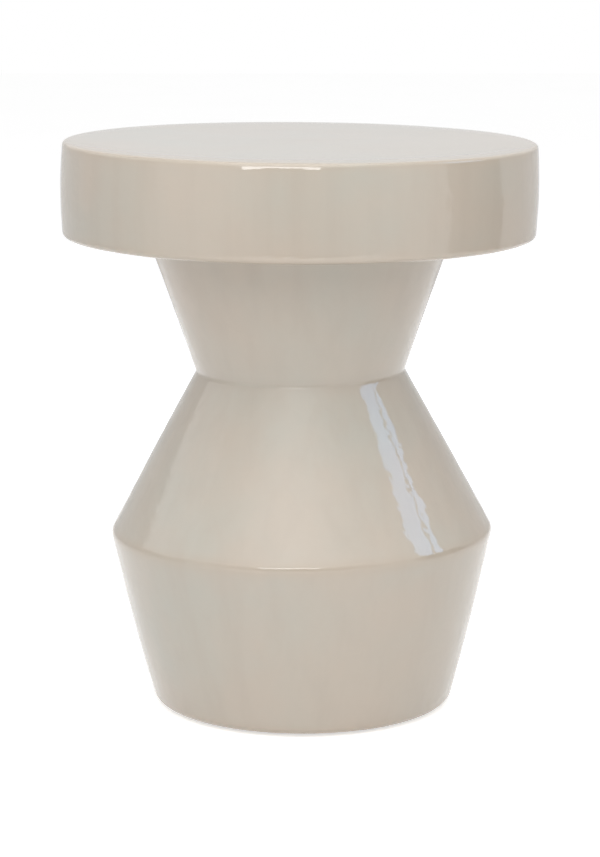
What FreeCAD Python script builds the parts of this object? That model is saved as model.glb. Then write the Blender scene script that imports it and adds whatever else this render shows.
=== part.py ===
# Ceramic garden stool, in millimetres: +Z up, origin on the floor under its centre.
# Pressed stoneware sections stand on each other with a bed of slip in every joint.
# One coat of gloss glaze covers the outside, and felt pads lift the bare foot ring.
import FreeCAD
import Part
import Sketcher
import os
from typing import NamedTuple

SIZES = {
    "seat_diameter": (375, "widest across the seat drum"),
    "seat_depth": (73.5, "underside of the drum to the top of the seat"),
    "rim_curve_radius": (400, "upright curve of the drum's barrel side"),
    "neck_diameter": (240.5, "neck where it meets the drum"),
    "neck_height": (107.5, "waist to the underside of the drum"),
    "waist_diameter": (165.5, "narrowest place"),
    "shoulder_height": (127.5, "belly to waist"),
    "belly_diameter": (305.5, "widest place of the pedestal, before rounding"),
    "base_height": (139.5, "foot to belly"),
    "foot_diameter": (238, "foot, before rounding"),
    "seat_top_rounding": (4, "upper edge of the drum"),
    "seat_bottom_rounding": (4, "lower edge of the drum"),
    "neck_rounding": (2, "inner corner under the drum"),
    "waist_rounding": (4, "inner corner at the waist"),
    "belly_rounding": (10, "outer edge at the belly"),
    "foot_rounding": (8, "outer edge of the foot"),
    "glaze_thickness": (0.5, "fired gloss coat"),
    "dry_foot": (1, "height above the foot that is wiped free of glaze"),
    "wall_thickness": (8.5, "clay of the pedestal and the rim"),
    "deck_thickness": (11, "clay of the seat's flat top"),
    "shelf_thickness": (10, "clay of the drum's underside"),
    "shelf_ledge": (28, "how far the shelf reaches in over the neck's bore"),
    "foot_ring_thickness": (10, "clay of the turned-in foot ring"),
    "fettled_edge": (2, "bevel on the foot ring's inner edge"),
    "inner_rounding": (8, "hollow's corners at the deck and the foot ring"),
    "belly_inner_rounding": (24, "coil smoothed into the hollow at the belly"),
    "waist_inner_rounding": (6, "ridge of the hollow at the waist"),
    "slip_thickness": (1.5, "bed of slip in each joint"),
    "pad_diameter": (20, "felt pad"),
    "pad_thickness": (2, "felt pad"),
    "pad_inset": (7, "from the foot's rounding in to a pad"),
    "pad_margin": (3, "bare foot ring left inside a pad"),
    "pad_count": (6, "felt pads round the foot ring"),
}

# Levels above the floor, each built on the one below it.
FOOT = "Sizes.pad_thickness"
RING_TOP = f"{FOOT} + Sizes.foot_ring_thickness"
BELLY = f"{FOOT} + Sizes.base_height"
WAIST = f"{BELLY} + Sizes.shoulder_height"
DRUM = f"{WAIST} + Sizes.neck_height"
SHELF = f"{DRUM} + Sizes.glaze_thickness"
SHELF_TOP = f"{SHELF} + Sizes.shelf_thickness"
SEAT = f"{DRUM} + Sizes.seat_depth"
DECK = f"{SEAT} - Sizes.glaze_thickness"
DECK_UNDER = f"{DECK} - Sizes.deck_thickness"
DRUM_MIDDLE = f"{DRUM} + Sizes.seat_depth / 2"

# Radii about the Z axis.
AXIS = "0"
FOOT_RADIUS = "Sizes.foot_diameter / 2"
BELLY_RADIUS = "Sizes.belly_diameter / 2"
WAIST_RADIUS = "Sizes.waist_diameter / 2"
NECK_RADIUS = "Sizes.neck_diameter / 2"
RIM_CENTRE = "Sizes.seat_diameter / 2 - Sizes.rim_curve_radius"
FLAT_FOOT_RADIUS = f"{FOOT_RADIUS} - Sizes.foot_rounding"
FOOT_OPENING = f"{FLAT_FOOT_RADIUS} - Sizes.pad_inset - Sizes.pad_diameter - Sizes.pad_margin"
PAD_CIRCLE = f"{FLAT_FOOT_RADIUS} - Sizes.pad_inset - Sizes.pad_diameter / 2"
SHELF_OPENING = f"{NECK_RADIUS} - Sizes.wall_thickness - Sizes.shelf_ledge"
RIM_BORE = "Sizes.seat_diameter / 2 - Sizes.glaze_thickness - Sizes.wall_thickness"

GLAZE = "Sizes.glaze_thickness"
GLAZE_AND_WALL = "Sizes.glaze_thickness + Sizes.wall_thickness"
BASE_FLARE = f"({BELLY_RADIUS} - {FOOT_RADIUS}) / Sizes.base_height"

# Sharp corners of the glazed outside, which every parallel wall is drawn from.
SKIN = {
    "foot": (FOOT_RADIUS, FOOT),
    "belly": (BELLY_RADIUS, BELLY),
    "waist": (WAIST_RADIUS, WAIST),
    "neck": (NECK_RADIUS, DRUM),
    "rim": ("Sizes.seat_diameter / 2", DRUM_MIDDLE),
}
WALLS = {"base": ("foot", "belly"), "shoulder": ("belly", "waist"), "neck": ("waist", "neck")}

# A radius that the slabs cut with, past every outline.
SLAB_RADIUS = "Sizes.seat_diameter + Sizes.belly_diameter"

# Two lengths nearer than this are the same, in mm.
CLOSE = 1e-4


class Corner(NamedTuple):
    """One corner of an outline, and the side that starts there.

    An open radius or level is left to the walls that meet at the corner, and skin names
    the glazed corner that it lies near. The side runs straight, along one of the WALLS
    or round the rim.
    """

    radius: str | None
    level: str | None
    side: str = "straight"
    rounding: str | None = None
    skin: str | None = None


def make_sheet(doc):
    """Writes the driving sizes to a sheet: name, value and note in each row."""
    sheet = doc.addObject("Spreadsheet::Sheet", "Sizes")
    for row, (name, (value, note)) in enumerate(SIZES.items(), 1):
        sheet.set(f"A{row}", name)
        sheet.set(f"B{row}", str(value))
        sheet.setAlias(f"B{row}", name)
        sheet.set(f"C{row}", note)
    doc.recompute()
    return sheet


class Outline:
    """A closed outline in the XZ plane: X is the radius and Z the level above the floor."""

    def __init__(self, body, sheet, corners, depth):
        self.sheet = sheet
        self.corners = corners
        self.sketch = body.newObject("Sketcher::SketchObject", body.Name + "_outline")
        plane = next(f for f in body.Origin.OriginFeatures if f.Role == "XZ_Plane")
        self.sketch.AttachmentSupport = [(plane, "")]
        self.sketch.MapMode = "FlatFace"
        self.draw_sides(depth)
        self.fix_corners()
        for wall, skin in WALLS.items():
            if any(corner.side == wall for corner in corners):
                self.follow_wall(wall, skin, depth)

    def value(self, expression):
        return float(self.sheet.evalExpression(expression))

    def bind(self, kind, *parts, to):
        """Adds a dimension whose value comes from the sheet."""
        dimension = Sketcher.Constraint(kind, *parts, self.value(to))
        number = self.sketch.addConstraint(dimension)
        self.sketch.setExpression(f"Constraints[{number}]", to)

    def tie(self, kind, *parts):
        self.sketch.addConstraint(Sketcher.Constraint(kind, *parts))

    def place(self, corner, depth):
        """Where a corner is drawn, before the walls pull an open one to its place."""
        skin_radius, skin_level = SKIN.get(corner.skin, (None, None))
        inset = self.value(depth) if corner.radius is None else 0
        return FreeCAD.Vector(
            self.value(corner.radius or skin_radius) - inset,
            self.value(corner.level or skin_level),
            0,
        )

    def draw_sides(self, depth):
        points = [self.place(corner, depth) for corner in self.corners]
        for number, corner in enumerate(self.corners):
            start, end = points[number], points[(number + 1) % len(points)]
            if corner.side == "rim":
                bulge = FreeCAD.Vector(1, 0, 0)
                self.sketch.addGeometry(Part.Arc(start, (start + end) / 2 + bulge, end), False)
            else:
                self.sketch.addGeometry(Part.LineSegment(start, end), False)
        for number in range(len(points)):
            self.tie("Coincident", number, 2, (number + 1) % len(points), 1)
        if any(corner.side == "rim" for corner in self.corners):
            self.curve_rim(depth)

    def curve_rim(self, depth):
        rim = next(n for n, corner in enumerate(self.corners) if corner.side == "rim")
        self.bind("Radius", rim, to=f"Sizes.rim_curve_radius - ({depth})")
        self.bind("DistanceX", rim, 3, -1, 1, to=f"-({RIM_CENTRE})")
        self.bind("DistanceY", -1, 1, rim, 3, to=DRUM_MIDDLE)

    def fix_corners(self):
        """Puts each stated radius and level on its corner, or makes the side upright or level."""
        for number, corner in enumerate(self.corners):
            before = self.corners[number - 1] if number else Corner(None, None)
            if corner.radius == AXIS:
                self.tie("PointOnObject", number, 1, -2)
            elif corner.radius is not None and corner.radius == before.radius:
                self.tie("Vertical", number - 1)
            elif corner.radius is not None:
                self.bind("DistanceX", -1, 1, number, 1, to=corner.radius)
            if corner.level is not None and corner.level == before.level:
                self.tie("Horizontal", number - 1)
            elif corner.level is not None:
                self.bind("DistanceY", -1, 1, number, 1, to=corner.level)

    def follow_wall(self, wall, skin, depth):
        """Holds the side parallel to the glazed outside, at the given depth under it."""
        ends = [FreeCAD.Vector(*[self.value(part) for part in SKIN[name]], 0) for name in skin]
        line = self.sketch.addGeometry(Part.LineSegment(*ends), True)
        for end, name in enumerate(skin, 1):
            self.bind("DistanceX", -1, 1, line, end, to=SKIN[name][0])
            self.bind("DistanceY", -1, 1, line, end, to=SKIN[name][1])
        side = next(n for n, corner in enumerate(self.corners) if corner.side == wall)
        self.tie("Parallel", side, line)
        self.bind("Distance", side, 1, line, to=depth)


def round_ring(body, outline, number):
    """Rounds the ring edge that one corner of the outline sweeps."""
    tip = body.Tip
    point = outline.sketch.getPoint(number, 1)
    for index, edge in enumerate(tip.Shape.Edges, 1):
        curve = edge.Curve
        if isinstance(curve, Part.Circle) and abs(curve.Radius - point.x) < CLOSE:
            if abs(curve.Center.z - point.y) < CLOSE:
                break
    else:
        raise ValueError(f"{body.Name} has no ring edge at corner {number}")
    fillet = body.newObject("PartDesign::Fillet", f"{body.Name}_rounding_{number}")
    fillet.Base = (tip, [f"Edge{index}"])
    fillet.setExpression("Radius", outline.corners[number].rounding)
    body.Document.recompute()


def turned_form(doc, sheet, name, corners, depth):
    """A solid turned about the Z axis from its outline, with its roundings."""
    body = doc.addObject("PartDesign::Body", name)
    outline = Outline(body, sheet, corners, depth)
    doc.recompute()
    if not outline.sketch.FullyConstrained:
        raise ValueError(f"the outline of {name} isn't fully constrained")
    turned = body.newObject("PartDesign::Revolution", name + "_turned")
    turned.Profile = outline.sketch
    turned.ReferenceAxis = (outline.sketch, ["V_Axis"])
    turned.Angle = 360
    doc.recompute()
    for number, corner in enumerate(corners):
        if corner.rounding:
            round_ring(body, outline, number)
    return body


def finished_form(doc, sheet):
    """The glazed outside. Its wall runs on below the foot, where the glaze is wiped off."""
    below = f"{FOOT} - {GLAZE}"
    corners = [
        Corner(AXIS, below),
        Corner(f"{FOOT_RADIUS} - {GLAZE} * {BASE_FLARE}", below, rounding="Sizes.foot_rounding"),
        Corner(BELLY_RADIUS, BELLY, rounding="Sizes.belly_rounding"),
        Corner(WAIST_RADIUS, WAIST, rounding="Sizes.waist_rounding"),
        Corner(NECK_RADIUS, DRUM, rounding="Sizes.neck_rounding"),
        Corner(None, DRUM, "rim", "Sizes.seat_bottom_rounding", "rim"),
        Corner(None, SEAT, rounding="Sizes.seat_top_rounding", skin="rim"),
        Corner(AXIS, SEAT),
    ]
    return turned_form(doc, sheet, "finished_form", corners, "0")


def clay_form(doc, sheet):
    """The fired clay's outside, one glaze thickness under the finished one."""
    corners = [
        Corner(AXIS, FOOT),
        Corner(None, FOOT, "base", f"Sizes.foot_rounding - {GLAZE}", "foot"),
        Corner(None, None, "shoulder", f"Sizes.belly_rounding - {GLAZE}", "belly"),
        Corner(None, None, "neck", f"Sizes.waist_rounding + {GLAZE}", "waist"),
        Corner(None, SHELF, rounding=f"Sizes.neck_rounding + {GLAZE}", skin="neck"),
        Corner(None, SHELF, "rim", f"Sizes.seat_bottom_rounding - {GLAZE}", "rim"),
        Corner(None, DECK, rounding=f"Sizes.seat_top_rounding - {GLAZE}", skin="rim"),
        Corner(AXIS, DECK),
    ]
    return turned_form(doc, sheet, "clay_form", corners, GLAZE)


def hollow_form(doc, sheet):
    """The hollow inside, from the hole in the foot ring up to the deck."""
    corners = [
        Corner(AXIS, FOOT),
        Corner(f"{FOOT_OPENING} + Sizes.fettled_edge", FOOT),
        Corner(FOOT_OPENING, f"{FOOT} + Sizes.fettled_edge"),
        Corner(FOOT_OPENING, RING_TOP),
        Corner(None, RING_TOP, "base", "Sizes.inner_rounding", "foot"),
        Corner(None, None, "shoulder", "Sizes.belly_inner_rounding", "belly"),
        Corner(None, None, "neck", "Sizes.waist_inner_rounding", "waist"),
        Corner(None, SHELF, skin="neck"),
        Corner(SHELF_OPENING, SHELF),
        Corner(SHELF_OPENING, SHELF_TOP),
        Corner(RIM_BORE, SHELF_TOP),
        Corner(RIM_BORE, DECK_UNDER, rounding="Sizes.inner_rounding"),
        Corner(AXIS, DECK_UNDER),
    ]
    return turned_form(doc, sheet, "hollow_form", corners, GLAZE_AND_WALL)


def cut(doc, name, base, tool):
    result = doc.addObject("Part::Cut", name)
    result.Base = base
    result.Tool = tool
    return result


def layer(doc, name, whole, bottom, top):
    """The part of a whole that lies between two levels."""
    slab = doc.addObject("Part::Cylinder", name + "_slab")
    slab.setExpression("Radius", SLAB_RADIUS)
    slab.setExpression("Height", f"({top}) - ({bottom})")
    slab.setExpression("Placement.Base.z", bottom)
    part = doc.addObject("Part::Common", name)
    part.Base = whole
    part.Tool = slab
    part.Label = name
    return part


def clay_sections(doc, clay):
    """The pressed sections and the slip between them, from the foot up."""
    half_bed = "Sizes.slip_thickness / 2"
    bed = "Sizes.slip_thickness"
    cuts = [
        ("base", FOOT, f"{BELLY} - {half_bed}"),
        ("belly_slip_joint", f"{BELLY} - {half_bed}", f"{BELLY} + {half_bed}"),
        ("shoulder", f"{BELLY} + {half_bed}", f"{WAIST} - {half_bed}"),
        ("waist_slip_joint", f"{WAIST} - {half_bed}", f"{WAIST} + {half_bed}"),
        ("neck", f"{WAIST} + {half_bed}", f"{SHELF} - {bed}"),
        ("neck_slip_joint", f"{SHELF} - {bed}", SHELF),
        ("seat_shelf", SHELF, SHELF_TOP),
        ("seat_slip_joint", SHELF_TOP, f"{SHELF_TOP} + {bed}"),
        ("seat_cap", f"{SHELF_TOP} + {bed}", SEAT),
    ]
    return [layer(doc, name, clay, bottom, top) for name, bottom, top in cuts]


def glaze_coat(doc, finished, clay):
    """The gloss coat, down to the line where the foot is wiped dry."""
    coat = cut(doc, "whole_coat", finished, clay)
    return layer(doc, "glaze_coat", coat, f"{FOOT} + Sizes.dry_foot", f"{SEAT} + {GLAZE}")


def foot_pads(doc, sheet):
    """Felt pads, evenly spaced on the flat of the foot ring."""
    pads = []
    for number in range(1, int(sheet.get("pad_count")) + 1):
        pad = doc.addObject("Part::Cylinder", f"foot_pad_{number}")
        turn = f"{number - 1} * 360 / Sizes.pad_count"
        pad.setExpression("Radius", "Sizes.pad_diameter / 2")
        pad.setExpression("Height", "Sizes.pad_thickness")
        pad.setExpression("Placement.Base.x", f"({PAD_CIRCLE}) * cos({turn})")
        pad.setExpression("Placement.Base.y", f"({PAD_CIRCLE}) * sin({turn})")
        pad.Label = f"foot_pad_{number}"
        pads.append(pad)
    return pads


def check(doc, parts):
    """Stops before anything is written if an object failed or a piece isn't one sound solid."""
    for item in doc.Objects:
        if {"Invalid", "Error"} & set(item.State):
            raise ValueError(f"{item.Name} failed: {item.State}")
    for part in parts:
        shape = part.Shape
        if shape.isNull() or not shape.isValid() or len(shape.Solids) != 1:
            raise ValueError(f"{part.Label} isn't one valid solid")


def write(parts):
    os.makedirs("parts", exist_ok=True)
    for part in parts:
        part.Shape.exportStep(os.path.join("parts", part.Label + ".step"))
        print(f"{part.Label}: {part.Shape.Volume / 1000:.1f} cm3")


def main():
    doc = FreeCAD.newDocument("garden_stool")
    sheet = make_sheet(doc)
    clay_outside = clay_form(doc, sheet)
    clay = cut(doc, "clay_wall", clay_outside, hollow_form(doc, sheet))
    parts = clay_sections(doc, clay)
    parts.append(glaze_coat(doc, finished_form(doc, sheet), clay_outside))
    parts += foot_pads(doc, sheet)
    doc.recompute()
    check(doc, parts)
    write(parts)


main()
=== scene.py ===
import bpy
import math
from typing import NamedTuple
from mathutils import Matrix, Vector, noise


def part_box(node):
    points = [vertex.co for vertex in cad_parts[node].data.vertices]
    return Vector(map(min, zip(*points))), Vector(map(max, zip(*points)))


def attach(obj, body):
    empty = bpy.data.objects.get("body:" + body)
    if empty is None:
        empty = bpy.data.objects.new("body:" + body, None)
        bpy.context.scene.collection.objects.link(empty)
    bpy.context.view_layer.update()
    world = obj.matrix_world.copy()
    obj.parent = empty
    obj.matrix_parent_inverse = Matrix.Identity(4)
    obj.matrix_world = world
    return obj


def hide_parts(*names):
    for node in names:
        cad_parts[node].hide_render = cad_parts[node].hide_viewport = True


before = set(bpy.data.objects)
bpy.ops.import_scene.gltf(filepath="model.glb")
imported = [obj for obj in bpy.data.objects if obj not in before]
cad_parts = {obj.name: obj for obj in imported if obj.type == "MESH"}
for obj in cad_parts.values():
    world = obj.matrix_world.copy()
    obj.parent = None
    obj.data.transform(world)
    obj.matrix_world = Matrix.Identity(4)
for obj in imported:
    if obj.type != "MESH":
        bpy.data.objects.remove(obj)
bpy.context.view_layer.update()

# Lengths are in metres. Levels and thicknesses come from the frame.
MM = 0.001
GLAZE_LOW, GLAZE_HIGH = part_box("glaze_coat")
BASE_LOW, BASE_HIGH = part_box("base")
SHELF_LOW, SHELF_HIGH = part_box("seat_shelf")
CAP_LOW, CAP_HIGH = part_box("seat_cap")

GLAZE = GLAZE_HIGH.z - CAP_HIGH.z
SLIP = CAP_LOW.z - SHELF_HIGH.z
FOOT = BASE_LOW.z
DRY_LINE = GLAZE_LOW.z
BELLY = BASE_HIGH.z + SLIP / 2
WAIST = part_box("neck")[0].z - SLIP / 2
SHELF = SHELF_LOW.z
DRUM = SHELF - GLAZE
SEAT = GLAZE_HIGH.z
SEAT_RADIUS = GLAZE_HIGH.x

# The outline's sharp corners and the clay's thickness, as the construction has them.
FOOT_RADIUS = 119 * MM
BELLY_RADIUS = 152.75 * MM
WAIST_RADIUS = 82.75 * MM
NECK_RADIUS = 120.25 * MM
RIM_CURVE = 400 * MM
WALL = 8.5 * MM
DECK_THICKNESS = 11 * MM
RING_THICKNESS = 10 * MM
RIM_BORE = SEAT_RADIUS - GLAZE - WALL
SHELF_LEDGE = 28 * MM
SHELF_OPENING = NECK_RADIUS - WALL - SHELF_LEDGE
FOOT_OPENING = 81 * MM
FETTLED_EDGE = 2 * MM

# The steps between an outline's samples, on a side and along a rounding, and how near two
# samples lie that count as one.
SIDE_STEP = 4 * MM
ARC_STEP = 0.9 * MM
SAME_POINT = 0.01 * MM

# How far each wall swells out between its corners.
RIM_BOW = (SEAT - DRUM) ** 2 / (8 * RIM_CURVE)
BASE_BOW = 1.25 * MM
NECK_BOW = -0.35 * MM

# The seat's outer ring falls away towards the rim.
FALL = 0.6 * MM
FALL_WIDTH = 24 * MM

# The ware is a little out of true: level, shift to the right, and tilt with the right side up.
OUT_OF_TRUE = (
    (FOOT, 1.1 * MM, 0.0),
    (FOOT + 60 * MM, 0.7 * MM, math.radians(0.55)),
    (WAIST, -0.8 * MM, math.radians(0.5)),
    (DRUM, -1.8 * MM, math.radians(-0.28)),
    (SEAT, -1.0 * MM, math.radians(-0.48)),
)
SEAT_RISE = 0.4 * MM


class Turn(NamedTuple):
    """A corner of an outline, its rounding, and how far the next side swells out."""

    radius: float
    level: float
    rounding: float = 0.0
    bow: float = 0.0
    step: float = SIDE_STEP


class Sample(NamedTuple):
    """A point of an outline, with the direction that faces out of the ware."""

    point: Vector
    out: Vector
    edge: float


def outward(direction):
    """The outside lies on the left of an outline."""
    return Vector((-direction.y, direction.x)).normalized()


def outline(turns):
    """Samples along sides and roundings. edge is 1 on an outer rounding, -1 in an inner one."""
    corners = [Vector((turn.radius, turn.level)) for turn in turns]
    starts, ends = [], []
    for turn, here, there in zip(turns, corners, corners[1:]):
        swell = 4 * turn.bow * outward(there - here)
        starts.append(there - here + swell)
        ends.append(there - here - swell)
    cut_off = [0.0] * len(turns)
    for number in range(1, len(turns) - 1):
        bend = ends[number - 1].angle(starts[number])
        cut_off[number] = turns[number].rounding * math.tan(bend / 2)
    samples = []
    for number, turn in enumerate(turns[:-1]):
        here, there = corners[number], corners[number + 1]
        length = (there - here).length
        first = cut_off[number] / length
        last = 1 - cut_off[number + 1] / length
        count = max(1, math.ceil((last - first) * length / turn.step))
        for index in range(count + 1):
            share = first + (last - first) * index / count
            out = outward(there - here)
            point = here.lerp(there, share) + out * 4 * turn.bow * share * (1 - share)
            slope = there - here + out * 4 * turn.bow * (1 - 2 * share)
            samples.append(Sample(point, outward(slope), 0.0))
        if number + 2 < len(turns) and turns[number + 1].rounding:
            samples += rounded(there, ends[number], starts[number + 1], turns[number + 1].rounding)
    return without_doubles(samples)


def rounded(corner, arriving, leaving, radius):
    """The samples of one rounding, between its two tangent points."""
    bend = arriving.angle(leaving)
    side = 1 if arriving.cross(leaving) < 0 else -1
    start = corner - arriving.normalized() * radius * math.tan(bend / 2)
    centre = start - side * outward(arriving) * radius
    count = max(3, math.ceil(radius * bend / ARC_STEP))
    samples = []
    for index in range(1, count):
        share = index / count
        out = outward(arriving).slerp(outward(leaving), share)
        samples.append(Sample(centre + side * out * radius, out, side * math.sin(math.pi * share)))
    return samples


def without_doubles(samples):
    """The samples, less those that lie on the one before."""
    kept = samples[:1]
    for sample in samples[1:]:
        if (sample.point - kept[-1].point).length > SAME_POINT:
            kept.append(sample)
    return kept


def sunk(samples, depth):
    """The outline parallel to this one, that far under it."""
    return [sample.point - sample.out * depth for sample in samples]


def between(points, low, high):
    """The part of a falling outline that lies between two levels, cut off square."""
    part = []
    for here, there in zip(points, points[1:]):
        if low <= here.y <= high:
            part.append(here)
        for level in (high, low):
            if there.y < level < here.y:
                part.append(here.lerp(there, (here.y - level) / (here.y - there.y)))
    if low <= points[-1].y <= high:
        part.append(points[-1])
    return part


def glaze_turns():
    rim = SEAT_RADIUS - RIM_BOW
    return [
        Turn(0, SEAT, step=8 * MM),
        Turn(rim - FALL_WIDTH, SEAT, 0, FALL / 4, 3 * MM),
        Turn(rim, SEAT - FALL, 3 * MM, RIM_BOW, 3.5 * MM),
        Turn(rim, DRUM, 4 * MM, 0, 5 * MM),
        Turn(NECK_RADIUS, DRUM, 2 * MM, NECK_BOW, 3 * MM),
        Turn(WAIST_RADIUS, WAIST, 6 * MM, 0, 2.2 * MM),
        Turn(BELLY_RADIUS, BELLY, 10 * MM, BASE_BOW, 3 * MM),
        Turn(FOOT_RADIUS, FOOT, 8 * MM, 0, 3 * MM),
        Turn(FOOT_OPENING + FETTLED_EDGE, FOOT),
    ]


def parallel_corner(before, here, after, depth):
    """Where two walls meet, that far inside the outline's corner."""
    first = (here - before).normalized()
    second = (after - here).normalized()
    a = here - outward(first) * depth
    b = here - outward(second) * depth
    along = (b - a).cross(second) / first.cross(second)
    return a + first * along


def hollow_turns():
    """The hollow from the deck's underside to the hole in the foot ring."""
    depth = GLAZE + WALL
    deck_under = SEAT - GLAZE - DECK_THICKNESS
    ring_top = FOOT + RING_THICKNESS
    neck = Vector((NECK_RADIUS, DRUM))
    waist = Vector((WAIST_RADIUS, WAIST))
    belly = Vector((BELLY_RADIUS, BELLY))
    foot = Vector((FOOT_RADIUS, FOOT))
    neck_inside = outward(waist - neck) * -depth
    slope = (waist - neck) / (waist.y - neck.y)
    neck_top = neck + neck_inside
    neck_top += slope * (SHELF - neck_top.y)
    waist_inside = parallel_corner(neck, waist, belly, depth)
    belly_inside = parallel_corner(waist, belly, foot, depth)
    fall = (foot - belly) / (foot.y - belly.y)
    foot_inside = belly_inside + fall * (ring_top - belly_inside.y)
    drum = [
        Turn(0, deck_under, step=12 * MM),
        Turn(RIM_BORE, deck_under, 8 * MM),
        Turn(RIM_BORE, SHELF_HIGH.z),
    ]
    pedestal = [
        Turn(*neck_top, step=5 * MM),
        Turn(*waist_inside, 6 * MM, 0, 5 * MM),
        Turn(*belly_inside, 24 * MM, 0, 5 * MM),
        Turn(*foot_inside, 8 * MM, 0, 5 * MM),
        Turn(FOOT_OPENING, ring_top, 1.5 * MM, 0, 3 * MM),
        Turn(FOOT_OPENING, FOOT + FETTLED_EDGE),
    ]
    return drum, pedestal


def out_of_true(place):
    """Where a point of the true shape lies on ware that leans and tilts a little."""
    level = min(max(place.z, FOOT), SEAT)
    for (low, shift, tilt), (high, next_shift, next_tilt) in zip(OUT_OF_TRUE, OUT_OF_TRUE[1:]):
        if level <= high:
            share = (level - low) / (high - low)
            shift += (next_shift - shift) * share
            tilt += (next_tilt - tilt) * share
            break
    rise = SEAT_RISE * max(0.0, (level - DRUM) / (SEAT - DRUM))
    return Vector((place.x + shift, place.y, place.z + place.x * tilt + rise))


def around(index, segments):
    """The level direction of one segment out of so many."""
    angle = 2 * math.pi * index / segments
    return Vector((math.cos(angle), math.sin(angle), 0))


def raised(height):
    """That far straight up."""
    return Vector((0, 0, height))


def ring_starts(rings, segments):
    """The number of each ring's first point, and of the point after the last."""
    starts = [0]
    for ring in rings:
        starts.append(starts[-1] + (segments if ring.x > 0 else 1))
    return starts


def ring_faces(rings, segments):
    """The faces between rings, which go from the axis to the axis or round in a loop."""
    starts = ring_starts(rings, segments)
    faces = []
    for number in range(len(rings) - 1 if rings[0].x == 0 else len(rings)):
        after = (number + 1) % len(rings)
        a, b = starts[number], starts[after]
        for index in range(segments):
            side = (index + 1) % segments
            if rings[number].x == 0:
                faces.append((a, b + index, b + side))
            elif rings[after].x == 0:
                faces.append((a + index, b, a + side))
            else:
                faces.append((a + index, b + index, b + side, a + side))
    return faces


def new_object(name, points, faces):
    mesh = bpy.data.meshes.new(name)
    mesh.from_pydata(points, [], faces)
    made = bpy.data.objects.new(name, mesh)
    bpy.context.collection.objects.link(made)
    return made


def turned(name, rings, segments, relief):
    """A closed mesh turned about the axis. A ring at radius 0 is a single point.

    rings is one closed section, or a section from the axis back to the axis. relief moves
    a point out of the surface: it takes the ring's number and the point on the true shape.
    """
    outs = ring_normals(rings)
    points = []
    for number, ring in enumerate(rings):
        for index in range(segments if ring.x > 0 else 1):
            level = around(index, segments)
            place = level * ring.x + raised(ring.y)
            out = level * outs[number].x + raised(outs[number].y)
            place += out * relief(number, place)
            points.append(out_of_true(place))
    piece = new_object(name, points, ring_faces(rings, segments))
    piece.data.validate()
    return piece


def ring_normals(rings):
    """The direction out of a section at each of its points, from the points beside it."""
    normals = []
    on_axis = rings[0].x == 0
    for number, point in enumerate(rings):
        before = rings[number - 1] if number or not on_axis else point
        after = rings[(number + 1) % len(rings)]
        if on_axis and number == len(rings) - 1:
            after = point
        normals.append(outward(after - before) if (after - before).length else Vector((0, 1)))
    return normals


def smooth(piece, sharp_degrees=40):
    """Smooth shading, apart from the edges that turn more than that."""
    mesh = piece.data
    mesh.shade_smooth()
    mesh.set_sharp_from_angle(angle=math.radians(sharp_degrees))


def finish_piece(piece, material, slot, *nodes):
    """Gives a piece its material, hangs it under the root body, and hides the parts that it stands for.
    """
    piece.data.materials.append(material)
    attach(piece, "root")
    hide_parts(*nodes)


# The glaze

GLAZE_SEGMENTS = 320
GLAZE_SHARP = 50
EDGE_REACH = 4.5 * MM
EDGE_PEAK = 0.7
INNER_STEP = 6
LIP_SHARES = (0.25, 0.5, 0.75)

# The waves in the fired glaze: how many to a metre, and their height in millimetres.
SLOW_WAVES, SLOW_HEIGHT = 11, 0.2
MIDDLE_WAVES, MIDDLE_HEIGHT = 34, 0.14
SHORT_WAVES, SHORT_HEIGHT = 80, 0.13
MIDDLE_OFFSET = Vector((3, 7, 1))
SHORT_OFFSET = Vector((9, 2, 5))

# The level seat settles while it is fired: how much is left of its shorter waves, and from where.
SEAT_LEFT = 0.12
SEAT_LOW = SEAT - FALL - 0.5 * MM


def glaze_relief(place):
    """The fired glaze's slow waves, 10 to 100 mm long, on the outside."""
    slow = noise.noise(place * SLOW_WAVES) * SLOW_HEIGHT
    middle = noise.noise(place * MIDDLE_WAVES + MIDDLE_OFFSET) * MIDDLE_HEIGHT
    short = noise.noise(place * SHORT_WAVES + SHORT_OFFSET) * SHORT_HEIGHT
    settled = SEAT_LEFT if place.z > SEAT_LOW else 1.0
    return (slow + (middle + short) * settled) * MM


def dry_line(samples):
    """The number of the first sample below the glaze's lower end."""
    for number, sample in enumerate(samples):
        if sample.point.y < DRY_LINE and sample.point.x < BELLY_RADIUS:
            return number


def glaze_piece():
    """The coat: its outside, the rolled lip above the foot, and its inside against the clay."""
    samples = outline(glaze_turns())
    outside = samples[:dry_line(samples)]
    outer = [sample.point for sample in outside]
    edges = [sample.edge for sample in outside]
    lip = outside[-1]
    along = Vector((lip.out.y, -lip.out.x))
    for share in LIP_SHARES:
        turn = math.pi * share
        roll = along * math.sin(turn) * GLAZE * 0.5 - lip.out * (1 - math.cos(turn)) * GLAZE * 0.5
        outer.append(lip.point + roll)
        edges.append(0.0)
    thinned = outside[::INNER_STEP] + [outside[-1]]
    inner = sunk(reversed(thinned), GLAZE)
    inner[-1] = Vector((0, SEAT - GLAZE))
    rings = outer + inner

    def relief(number, place):
        return glaze_relief(place) if number < len(outside) else 0.0

    piece = turned("glaze", rings, GLAZE_SEGMENTS, relief)
    spread_edges(piece, ring_starts(rings, GLAZE_SEGMENTS), outer, edges)
    return piece


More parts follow.
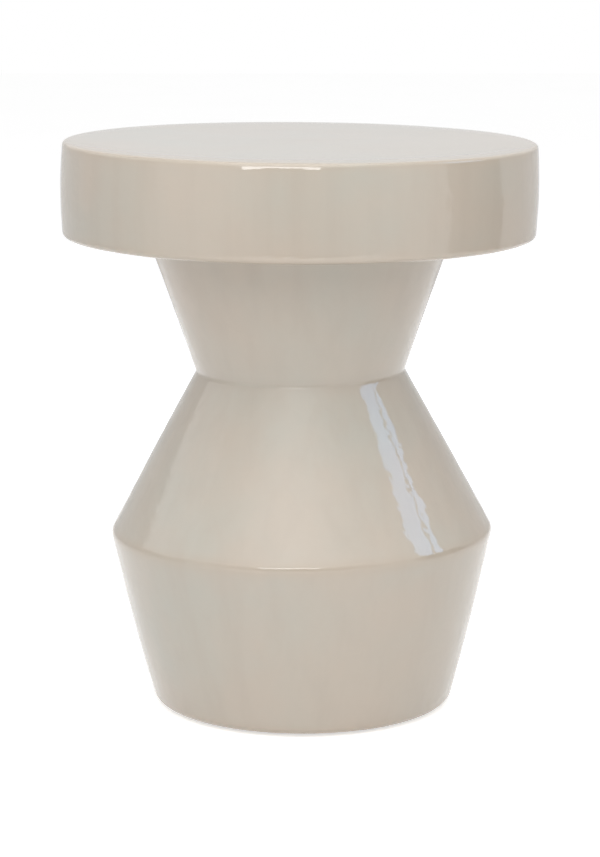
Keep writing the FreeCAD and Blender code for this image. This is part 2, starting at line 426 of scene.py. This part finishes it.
def spread_edges(piece, starts, outer, edges):
    """Stores how near each point lies to an outer rounding (edge) or an inner one (pool)."""
    lengths = [0.0]
    for here, there in zip(outer, outer[1:]):
        lengths.append(lengths[-1] + (there - here).length)
    for field, sign in (("edge", 1), ("pool", -1)):
        peaks = [at for at, value in zip(lengths, edges) if value * sign > EDGE_PEAK]
        data = piece.data.attributes.new(field, "FLOAT", "POINT").data
        for number, at in enumerate(lengths):
            near = min((abs(at - peak) for peak in peaks), default=1.0)
            value = math.exp(-((near / EDGE_REACH) ** 2))
            for point in range(starts[number], starts[number + 1]):
                data[point].value = value


# The clay

CLAY_SEGMENTS = 160

# Sponging ridges and pressing lumps on the inside: how many to a metre, height in millimetres.
RIDGES, RIDGE_HEIGHT = 680, 0.10
RIDGE_BENDS, RIDGE_BEND = 9, 2
LUMPS, LUMP_HEIGHT = 26, 0.28

# The bead of slip, its lumps, and how far the bed stays back inside the wall.
BEAD_HEIGHT = 3.2 * MM
BEAD_DEPTH = 2.4 * MM
BEAD_BURIED = 0.4 * MM
BEAD_STEPS = 8
BEAD_LUMPS, BEAD_LUMP_HEIGHT = 60, 0.7
BEAD_WAVES, BEAD_WAVE_HEIGHT = 18, 0.5
BED_INSET = 1.2 * MM

# A felt pad: the bevel that it stands on, the cut edge's fuzz, and the rings of its faces as
# shares of its radius, with the side's heights as shares of its thickness.
PAD_SEGMENTS = 48
PAD_BEVEL = 0.35 * MM
PAD_FUZZ = 0.12 * MM
FUZZ_WAVES = 900
PAD_TOP_RINGS = (0.3, 0.6, 0.85)
PAD_SIDE_RINGS = ((1.0, 1.0), (1.005, 0.7), (1.01, 0.4))
PAD_UNDER_RINGS = (0.8, 0.55, 0.3)


def clay_relief(place):
    """Pressing and sponging marks on the unglazed inside."""
    bend = RIDGE_BEND * noise.noise(place * RIDGE_BENDS)
    ridges = math.sin(place.z * RIDGES + bend) * RIDGE_HEIGHT
    lumps = noise.noise(place * LUMPS) * LUMP_HEIGHT
    return (ridges + lumps) * MM


def clay_piece(name, outer, inner):
    """A casting between the glaze and the hollow. Both outlines fall, and join into one loop."""
    rings = outer + inner[::-1]
    last = len(rings) - 1

    def relief(number, place):
        return clay_relief(place) if len(outer) < number < last else 0.0

    return turned(name, rings, CLAY_SEGMENTS, relief)


def slip_piece(name, outer, inner, level):
    """A bed of slip, with the bead that squeezed out into the hollow."""
    wall = inner[len(inner) // 2].x
    under = Vector((wall + BED_INSET, level - SLIP / 2))
    over = Vector((wall + BED_INSET, level + SLIP / 2))
    bead = []
    for index in range(BEAD_STEPS + 1):
        turn = math.pi * index / BEAD_STEPS
        depth = BEAD_BURIED - (BEAD_DEPTH + BEAD_BURIED) * math.sin(turn)
        bead.append(Vector((wall + depth, level - BEAD_HEIGHT * math.cos(turn))))
    rings = [outer[0], outer[-1], under, *bead, over]
    first = rings.index(bead[0])

    def relief(number, place):
        if not first < number < first + BEAD_STEPS:
            return 0.0
        lumps = noise.noise(place * BEAD_LUMPS) * BEAD_LUMP_HEIGHT
        waves = noise.noise(place * BEAD_WAVES) * BEAD_WAVE_HEIGHT
        return (lumps + waves) * MM

    return turned(name, rings, CLAY_SEGMENTS, relief)


def pad_piece(name, centre, low, high, radius):
    """A die-cut felt pad: fuzzy round side, pressed a little flatter where it stands."""
    height = high - low
    rings = [Vector((0, height))]
    rings += [Vector((radius * share, height)) for share in PAD_TOP_RINGS]
    rings += [Vector((radius * across, height * up)) for across, up in PAD_SIDE_RINGS]
    rings += [Vector((radius, PAD_BEVEL)), Vector((radius - PAD_BEVEL, 0))]
    rings += [Vector((radius * share, 0)) for share in PAD_UNDER_RINGS]
    rings.append(Vector((0, 0)))
    points = []
    for ring in rings:
        for index in range(PAD_SEGMENTS if ring.x > 0 else 1):
            level = around(index, PAD_SEGMENTS)
            place = centre + level * ring.x + raised(low + ring.y)
            if 0 < ring.y < height:
                place += level * noise.noise(place * FUZZ_WAVES) * PAD_FUZZ
            points.append(place)
    return new_object(name, points, ring_faces(rings, PAD_SEGMENTS))


# Materials


def new_material(name):
    material = bpy.data.materials.new(name)
    material.use_nodes = True
    return material, Nodes(material.node_tree)


class Nodes:
    """Short calls for building a node tree."""

    def __init__(self, tree):
        self.tree = tree
        tree.nodes.clear()

    def put(self, socket, value):
        """Links a socket's output, or sets a plain value."""
        if isinstance(value, bpy.types.NodeSocket):
            self.tree.links.new(value, socket)
        else:
            socket.default_value = value

    def add(self, kind, inputs=(), **settings):
        node = self.tree.nodes.new(kind)
        for key, value in settings.items():
            setattr(node, key, value)
        for key, value in dict(inputs).items():
            self.put(node.inputs[key], value)
        return node

    def noise(self, vector, scale, detail=2.0, roughness=0.5):
        inputs = {"Vector": vector, "Scale": scale, "Detail": detail, "Roughness": roughness}
        return self.add("ShaderNodeTexNoise", inputs).outputs["Fac"]

    def math(self, operation, a, b=0.0):
        return self.add("ShaderNodeMath", {0: a, 1: b}, operation=operation).outputs[0]

    def spread(self, value, low, high, to_low=0.0, to_high=1.0):
        inputs = {"Value": value, "From Min": low, "From Max": high, "To Min": to_low, "To Max": to_high}
        return self.add("ShaderNodeMapRange", inputs, clamp=True).outputs["Result"]

    def mix(self, share, a, b):
        """A mix of two colours, which are a Mix node's inputs 6 and 7."""
        return self.add("ShaderNodeMix", {0: share, 6: a, 7: b}, data_type="RGBA").outputs[2]

    def stretched(self, vector, scale):
        inputs = {"Vector": vector, "Scale": scale}
        return self.add("ShaderNodeMapping", inputs, vector_type="POINT").outputs["Vector"]

    def attribute(self, name):
        return self.add("ShaderNodeAttribute", attribute_name=name).outputs["Fac"]

    def bump(self, height, distance, normal=None):
        inputs = {"Height": height, "Distance": distance}
        if normal:
            inputs["Normal"] = normal
        return self.add("ShaderNodeBump", inputs).outputs["Normal"]

    def place(self):
        return self.add("ShaderNodeTexCoord").outputs["Object"]

    def finish(self, shader):
        self.add("ShaderNodeOutputMaterial", {"Surface": shader.outputs[0]})

    def surface(self, inputs):
        self.finish(self.add("ShaderNodeBsdfPrincipled", inputs))


def colour(red, green, blue):
    """A colour as a screen shows it, 0 to 255, turned into the linear value that nodes take."""

    def linear(value):
        value /= 255
        return value / 12.92 if value <= 0.04045 else ((value + 0.055) / 1.055) ** 2.4

    return (linear(red), linear(green), linear(blue), 1.0)


# Noise scales are in waves to a metre, and bump heights in metres.
GLAZE_BODY = colour(199, 188, 174)
GLAZE_COOL = colour(194, 189, 177)
GLAZE_WARM = colour(202, 187, 171)
# The tone of the outer roundings: glaze fired thin there, plus painted shade that darkens the lighter
# bands these edges show.
GLAZE_THIN_EDGE_AND_SHADE = colour(196, 179, 160)
GLAZE_DEEP = colour(190, 178, 164)
WARM_SHARE = 0.7
# How much of that edge tone the outer roundings get: partly thin glaze, partly painted shade.
THIN_EDGE_AND_SHADE_SHARE = 0.35
DEEP_SHARE = 0.3
STREAK_STRETCH = (60, 60, 5)
RIPPLE_SCALE = 150
RIPPLE_HEIGHT = 0.16 * MM
GLAZE_IOR = 1.6

CLAY_GRIT = colour(120, 96, 72)
GRIT_SCALE = 700
GRAIN_SCALE = 900
GRAIN_HEIGHT = 0.2 * MM
SCRAPE_STRETCH = (30, 30, 400)
SCRAPE_HEIGHT = 0.3 * MM

FELT_DARK = colour(92, 82, 72)
FELT_LIGHT = colour(150, 138, 124)
FELT_WORN = colour(110, 100, 88)
FIBRE_STRETCH = (2600, 700, 1500)
CROSSING_STRETCH = (650, 2400, 1500)
FIBRE_HEIGHT = 0.3 * MM


def glaze_material():
    """A greige gloss: soft clouds of tone, edges thin and darkened with painted shade, pooled in turns,
    rippled on walls.
    """
    material, nodes = new_material("greige_glaze")
    coordinates = nodes.add("ShaderNodeTexCoord")
    place = coordinates.outputs["Object"]
    clouds = nodes.spread(nodes.noise(place, 14, 3), 0.35, 0.65)
    patches = nodes.spread(nodes.noise(place, 6, 2), 0.42, 0.68)
    tone = nodes.mix(clouds, GLAZE_BODY, GLAZE_COOL)
    tone = nodes.mix(nodes.math("MULTIPLY", patches, WARM_SHARE), tone, GLAZE_WARM)
    streaks = nodes.noise(nodes.stretched(place, STREAK_STRETCH), 1.0, 3)
    streaks = nodes.spread(streaks, 0.45, 0.75, to_high=0.35)
    tone = nodes.mix(streaks, tone, GLAZE_DEEP)
    # Outer roundings: thin glaze, plus painted shade that darkens the lighter bands on these edges.
    thin_edge_and_shade = nodes.math("MULTIPLY", nodes.attribute("edge"), THIN_EDGE_AND_SHADE_SHARE)
    tone = nodes.mix(thin_edge_and_shade, tone, GLAZE_THIN_EDGE_AND_SHADE)
    deep = nodes.math("MULTIPLY", nodes.attribute("pool"), DEEP_SHARE)
    tone = nodes.mix(deep, tone, GLAZE_DEEP)

    sheen = nodes.spread(nodes.noise(place, 30, 3), 0.3, 0.7, to_low=0.025, to_high=0.045)
    facing_up = nodes.add("ShaderNodeSeparateXYZ", {0: coordinates.outputs["Normal"]}).outputs[2]
    wall = nodes.spread(nodes.math("ABSOLUTE", facing_up), 0.5, 0.9, to_low=1.0, to_high=0.01)
    ripple = nodes.math("MULTIPLY", nodes.noise(place, RIPPLE_SCALE, 1, 0.3), wall)
    normal = nodes.bump(ripple, RIPPLE_HEIGHT)
    nodes.surface({"Base Color": tone, "Roughness": sheen, "Normal": normal, "IOR": GLAZE_IOR})
    return material


def clay_material(name, main, pale, grit):
    """Fired clay or slip: cloudy, gritty, scraped round and grainy. grit is how dark its specks are."""
    material, nodes = new_material(name)
    place = nodes.place()
    clouds = nodes.spread(nodes.noise(place, 22, 4), 0.35, 0.65)
    tone = nodes.mix(clouds, main, pale)
    cells = nodes.add("ShaderNodeTexVoronoi", {"Vector": place, "Scale": GRIT_SCALE}, feature="F1")
    specks = nodes.spread(cells.outputs["Distance"], 0.10, 0.20, to_low=grit, to_high=0.0)
    tone = nodes.mix(specks, tone, CLAY_GRIT)
    grain = nodes.noise(place, GRAIN_SCALE, 3, 0.7)
    scrape = nodes.noise(nodes.stretched(place, SCRAPE_STRETCH), 1.0, 3)
    normal = nodes.bump(scrape, SCRAPE_HEIGHT)
    normal = nodes.bump(grain, GRAIN_HEIGHT, normal)
    rough = nodes.spread(grain, 0.3, 0.7, to_low=0.75, to_high=0.92)
    nodes.surface({"Base Color": tone, "Roughness": rough, "Normal": normal})
    return material


def felt_material():
    """Pressed felt: fibres that lie across each other, in a tone that wanders."""
    material, nodes = new_material("pressed_felt")
    place = nodes.place()
    wander = nodes.noise(place, 260, 2)
    fibres = nodes.noise(nodes.stretched(place, FIBRE_STRETCH), 1.0, 3, 0.7)
    crossing = nodes.noise(nodes.stretched(place, CROSSING_STRETCH), 1.0, 3, 0.7)
    weave = nodes.math("MAXIMUM", fibres, crossing)
    tone = nodes.mix(nodes.spread(weave, 0.45, 0.75), FELT_DARK, FELT_LIGHT)
    tone = nodes.mix(nodes.spread(wander, 0.4, 0.7, to_high=0.4), tone, FELT_WORN)
    normal = nodes.bump(weave, FIBRE_HEIGHT)
    nodes.surface({"Base Color": tone, "Roughness": 0.95, "Normal": normal, "Sheen Weight": 0.4})
    return material


# The object

# Below RIM_END the clay's outline runs along the shelf's underside, and from NECK_START down.
RIM_END = SHELF + 0.05 * MM
NECK_START = SHELF - 0.02 * MM

CLAY_TONES = (colour(205, 184, 155), colour(214, 196, 168))
SLIP_TONES = (colour(212, 194, 168), colour(220, 204, 180))
CLAY_SPECKS = 0.55
SLIP_SPECKS = 0.15


def split_outer():
    """The clay's outside under the glaze: the drum's rim, its underside, and the pedestal."""
    outer = sunk(outline(glaze_turns()), GLAZE)
    rim_end = next(n for n, p in enumerate(outer) if p.y < RIM_END)
    neck_start = next(n for n, p in enumerate(outer) if p.y < NECK_START and n > rim_end)
    return outer[:rim_end], outer[rim_end:neck_start], outer[neck_start - 1:]


def cut_off_at(points, level):
    """The points above a level, closed with a square end at it."""
    part = [p for p in points if p.y >= level]
    part.append(Vector((part[-1].x, level)))
    return part


def build_object():
    glaze = glaze_piece()
    smooth(glaze, GLAZE_SHARP)
    finish_piece(glaze, glaze_material(), "glaze", "glaze_coat")

    clay = clay_material("fired_clay", *CLAY_TONES, CLAY_SPECKS)
    slip = clay_material("fired_slip", *SLIP_TONES, SLIP_SPECKS)
    rim, under, pedestal = split_outer()
    drum_hollow, pedestal_hollow = (
        [sample.point for sample in outline(turns)] for turns in hollow_turns()
    )
    build_clay(clay, rim, under, pedestal, drum_hollow, pedestal_hollow)
    build_slip(slip, rim, pedestal, pedestal_hollow)
    build_pads(felt_material())


def build_clay(clay, rim, under, pedestal, drum_hollow, pedestal_hollow):
    """The five castings."""
    cap_outer = cut_off_at(rim, CAP_LOW.z)
    cap_outer[0] = Vector((0, SEAT - GLAZE))
    cap_inner = cut_off_at(drum_hollow, CAP_LOW.z)
    shelf_outer = [Vector((cap_outer[-1].x, SHELF_HIGH.z))]
    shelf_outer += [p for p in rim if p.y < SHELF_HIGH.z] + under
    shelf_inner = [Vector((SHELF_OPENING, SHELF_HIGH.z)), Vector((SHELF_OPENING, SHELF))]
    pieces = {
        "seat_cap": clay_piece("seat_cap_clay", cap_outer, cap_inner),
        "seat_shelf": clay_piece("seat_shelf_clay", shelf_outer, shelf_inner),
    }
    sections = {
        "neck": (WAIST + SLIP / 2, SHELF - SLIP),
        "shoulder": (BELLY + SLIP / 2, WAIST - SLIP / 2),
        "base": (0.0, BELLY - SLIP / 2),
    }
    for name, (low, high) in sections.items():
        outer = between(pedestal, low, high)
        pieces[name] = clay_piece(name + "_clay", outer, between(pedestal_hollow, low, high))
    for name, piece in pieces.items():
        smooth(piece)
        finish_piece(piece, clay, "clay", name)


def build_slip(slip, rim, pedestal, pedestal_hollow):
    """The four beds of slip."""
    seat_level = SHELF_HIGH.z + SLIP / 2
    rim_edge = cut_off_at(rim, CAP_LOW.z)[-1].x
    beds = {"neck": SHELF - SLIP / 2, "waist": WAIST, "belly": BELLY, "seat": seat_level}
    for name, level in beds.items():
        low, high = level - SLIP / 2, level + SLIP / 2
        if name == "seat":
            outer = [Vector((rim_edge, high)), Vector((rim_edge, low))]
            inner = [Vector((RIM_BORE, level))]
        else:
            outer = between(pedestal, low, high)
            inner = between(pedestal_hollow, low, high)
        piece = slip_piece(name + "_slip", outer, inner, level)
        smooth(piece)
        finish_piece(piece, slip, "slip", name + "_slip_joint")


def build_pads(felt):
    """The six pads, which follow the foot's small shift."""
    shift = Vector((OUT_OF_TRUE[0][1], 0, 0))
    for name in (f"foot_pad_{number}" for number in range(1, 7)):
        low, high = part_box(name)
        centre = Vector(((low.x + high.x) / 2, (low.y + high.y) / 2, 0)) + shift
        pad = pad_piece(name + "_felt", centre, low.z, high.z, (high.x - low.x) / 2)
        smooth(pad)
        finish_piece(pad, felt, "felt", name)


# The stage

# The camera stands where the photograph was taken from.
CAMERA_DISTANCE = 2.1576
CAMERA_HEIGHT = 0.6381
CAMERA_PITCH = math.radians(10.953)
CAMERA_SIDE = -1.2 * MM
FOCAL_PIXELS = 2751
IMAGE_HEIGHT = 857
SENSOR = 36


def build_camera():
    data = bpy.data.cameras.new("camera")
    data.sensor_width = SENSOR
    data.lens = FOCAL_PIXELS * SENSOR / IMAGE_HEIGHT
    camera = bpy.data.objects.new("camera", data)
    camera.location = (CAMERA_SIDE, -CAMERA_DISTANCE, CAMERA_HEIGHT)
    camera.rotation_euler = (math.pi / 2 - CAMERA_PITCH, 0, 0)
    bpy.context.collection.objects.link(camera)
    bpy.context.scene.camera = camera


def direction(azimuth, elevation):
    """Degrees to a direction from the stool. 0 is the camera's side, and + is to its right."""
    turn, up = math.radians(azimuth), math.radians(elevation)
    level = math.cos(up)
    return Vector((math.sin(turn) * level, -math.cos(turn) * level, math.sin(up)))


# The lights face this point. Their azimuths and elevations are in degrees, and levels are radiance.
MIDDLE = Vector((0, 0, 0.24))

WORLD_LEVEL = 0.4

# The window: a curved sheet of soft light in front, brightest just left of the camera.
WINDOW_AZIMUTHS = (-75, 75)
WINDOW_ELEVATIONS = (18, 66)
WINDOW_DISTANCE = 2.4
WINDOW_STEP = 3
WINDOW_EVEN = 1.22
WINDOW_PEAK = 0.85
WINDOW_PEAK_AT = -9
WINDOW_PEAK_WIDTH = 34

# The bright sill under the window, and the soft light from above: azimuth, elevation, distance.
SILL_PLACE = (-8.7, 16, 2.3)
SILL_SIZE = (1.45, 0.24)
SILL_LEVEL = 6.5
TOP_PLACE = (0, 84, 2.0)
TOP_SIZE = (1.6, 1.6)
TOP_LEVEL = 1.2

# The strip light's two panes at the right, each with the azimuth and elevation of its corners.
STRIP_DISTANCE = 2.5
STRIP_LEVEL = 4.0
STRIP_TINT = (0.5, 0.7, 1.0)
STRIP_CORNERS = [(78, 20), (88.4, 18), (89.4, 42), (71, 44)]
STRIP_EDGE_CORNERS = [(90.3, 15), (94.5, 15), (95, 40), (90.9, 40)]

# The screens that only the gloss mirrors: their elevations and distance. The low one stands
# nearer, and they overlap so that no gap shows.
MIRRORED_AZIMUTHS = (-180, 180)
MIRRORED_STEP = 2
LOW_SCREEN = ((-9.7, 2), 1.4)
HIGH_SCREEN = ((-5, 43), 2.9)

# What stands there: the levels below and above FLAG_TOP at the left, at the right and behind,
# and in front an even level with a dip round the camera.
FLAG_TOP = 16
LEFT_EDGES, LEFT_LEVELS = (-122, -71), (0.75, 1.5)
RIGHT_EDGES, RIGHT_LEVELS = (71, 108), (0.2, 1.1)
BEHIND_LEVELS = (0.8, 1.0)
FRONT_LEVEL = 1.0
FRONT_DIP = 0.7
FRONT_DIP_WIDTH = 32

# The floor's two greys, the size of its patches, and the glow that makes it white where it is seen.
FLOOR_HALF = 8.0
FLOOR_DARK = colour(242, 242, 242)
FLOOR_LIGHT = colour(246, 246, 246)
FLOOR_PATCHES = 3
FLOOR_GLOW = 0.62
WHITE = (1, 1, 1, 1)


def area_light(name, place, size, radiance):
    """A flat softbox that faces the stool. size is its width and height."""
    azimuth, elevation, distance = place
    away = direction(azimuth, elevation)
    data = bpy.data.lights.new(name, "AREA")
    data.shape = "RECTANGLE"
    data.size, data.size_y = size
    data.energy = radiance * math.pi * size[0] * size[1]
    light = bpy.data.objects.new(name, data)
    light.location = MIDDLE + away * distance
    light.rotation_euler = away.to_track_quat("Z", "Y").to_euler()
    light.visible_camera = False
    bpy.context.collection.objects.link(light)
    return light


def glowing(name, places, faces, glows, tint=(1, 1, 1)):
    """A glowing sheet that the camera doesn't see. glows holds the radiance at each of its points."""
    sheet = new_object(name, places, faces)
    sheet.data.attributes.new("glow", "FLOAT", "POINT").data.foreach_set("value", glows)
    material, nodes = new_material(name + "_glow")
    inputs = {"Color": (*tint, 1.0), "Strength": nodes.attribute("glow")}
    nodes.finish(nodes.add("ShaderNodeEmission", inputs))
    sheet.data.materials.append(material)
    sheet.visible_camera = False
    sheet.visible_transmission = False
    return sheet


def glowing_screen(name, azimuths, elevations, distance, level, step):
    """A curved screen round the stool. level gives its radiance at an azimuth and elevation."""
    across = round((azimuths[1] - azimuths[0]) / step) + 1
    up = round((elevations[1] - elevations[0]) / step) + 1
    places, glows, faces = [], [], []
    for row in range(up):
        elevation = elevations[0] + (elevations[1] - elevations[0]) * row / (up - 1)
        for column in range(across):
            azimuth = azimuths[0] + (azimuths[1] - azimuths[0]) * column / (across - 1)
            places.append(MIDDLE + direction(azimuth, elevation) * distance)
            glows.append(level(azimuth, elevation))
            if row and column:
                last = len(places) - 1
                faces.append((last, last - 1, last - across - 1, last - across))
    return glowing(name, places, faces, glows)


def strip_pane(name, corners):
    """One plane pane of the strip light. Only the gloss shows it."""
    places = [MIDDLE + direction(*corner) * STRIP_DISTANCE for corner in corners]
    pane = glowing(name, places, [(0, 1, 2, 3)], [STRIP_LEVEL] * len(corners), STRIP_TINT)
    pane.visible_diffuse = False


def window(azimuth, elevation):
    """The window's level: the same at every height, with a soft peak."""
    off = (azimuth - WINDOW_PEAK_AT) / WINDOW_PEAK_WIDTH
    return WINDOW_EVEN + WINDOW_PEAK * math.exp(-(off ** 2))


def surroundings(azimuth, elevation):
    """What the gloss mirrors of the pale studio and its dark flags."""
    if LEFT_EDGES[1] <= azimuth <= RIGHT_EDGES[0]:
        return FRONT_LEVEL - FRONT_DIP * math.exp(-((azimuth / FRONT_DIP_WIDTH) ** 2))
    low, high = BEHIND_LEVELS
    if LEFT_EDGES[0] < azimuth < LEFT_EDGES[1]:
        low, high = LEFT_LEVELS
    elif RIGHT_EDGES[0] < azimuth < RIGHT_EDGES[1]:
        low, high = RIGHT_LEVELS
    return low if elevation < FLAG_TOP else high


def is_seen(nodes):
    """1 for camera, glossy and transmission rays, which see the plain white studio."""
    path = nodes.add("ShaderNodeLightPath")
    seen = nodes.math("MAXIMUM", path.outputs["Is Camera Ray"], path.outputs["Is Glossy Ray"])
    return nodes.math("MAXIMUM", seen, path.outputs["Is Transmission Ray"])


def build_world():
    world = bpy.data.worlds.new("studio")
    world.use_nodes = True
    nodes = Nodes(world.node_tree)
    strength = nodes.spread(is_seen(nodes), 0, 1, to_low=WORLD_LEVEL, to_high=1.0)
    back = nodes.add("ShaderNodeBackground", {"Color": WHITE, "Strength": strength})
    nodes.add("ShaderNodeOutputWorld", {"Surface": back.outputs[0]})
    bpy.context.scene.world = world


def build_floor():
    """A pale floor, which isn't seen from below."""
    near, far = -FLOOR_HALF, FLOOR_HALF
    corners = [(near, near, 0), (far, near, 0), (far, far, 0), (near, far, 0)]
    floor = new_object("floor", corners, [(0, 1, 2, 3)])
    material, nodes = new_material("pale_floor")
    tone = nodes.mix(nodes.noise(nodes.place(), FLOOR_PATCHES, 2), FLOOR_DARK, FLOOR_LIGHT)
    matt = nodes.add("ShaderNodeBsdfDiffuse", {"Color": tone})
    glow_level = nodes.math("MULTIPLY", is_seen(nodes), FLOOR_GLOW)
    glow = nodes.add("ShaderNodeEmission", {"Color": WHITE, "Strength": glow_level})
    lit = nodes.add("ShaderNodeAddShader", {0: matt.outputs[0], 1: glow.outputs[0]})
    clear = nodes.add("ShaderNodeBsdfTransparent")
    under = nodes.add("ShaderNodeNewGeometry").outputs["Backfacing"]
    inputs = {0: under, 1: lit.outputs[0], 2: clear.outputs[0]}
    nodes.finish(nodes.add("ShaderNodeMixShader", inputs))
    floor.data.materials.append(material)


def build_stage():
    build_camera()
    build_world()
    build_floor()
    glowing_screen(
        "window", WINDOW_AZIMUTHS, WINDOW_ELEVATIONS, WINDOW_DISTANCE, window, WINDOW_STEP
    )
    for name, screen in (("low_surroundings", LOW_SCREEN), ("high_surroundings", HIGH_SCREEN)):
        mirrored = glowing_screen(name, MIRRORED_AZIMUTHS, *screen, surroundings, MIRRORED_STEP)
        mirrored.visible_diffuse = False
        mirrored.visible_shadow = False
    sill = area_light("sill", SILL_PLACE, SILL_SIZE, SILL_LEVEL)
    sill.visible_diffuse = False
    strip_pane("strip", STRIP_CORNERS)
    strip_pane("strip_edge", STRIP_EDGE_CORNERS)
    area_light("top", TOP_PLACE, TOP_SIZE, TOP_LEVEL)


build_stage()
build_object()
bpy.context.scene.view_settings.view_transform = "Standard"
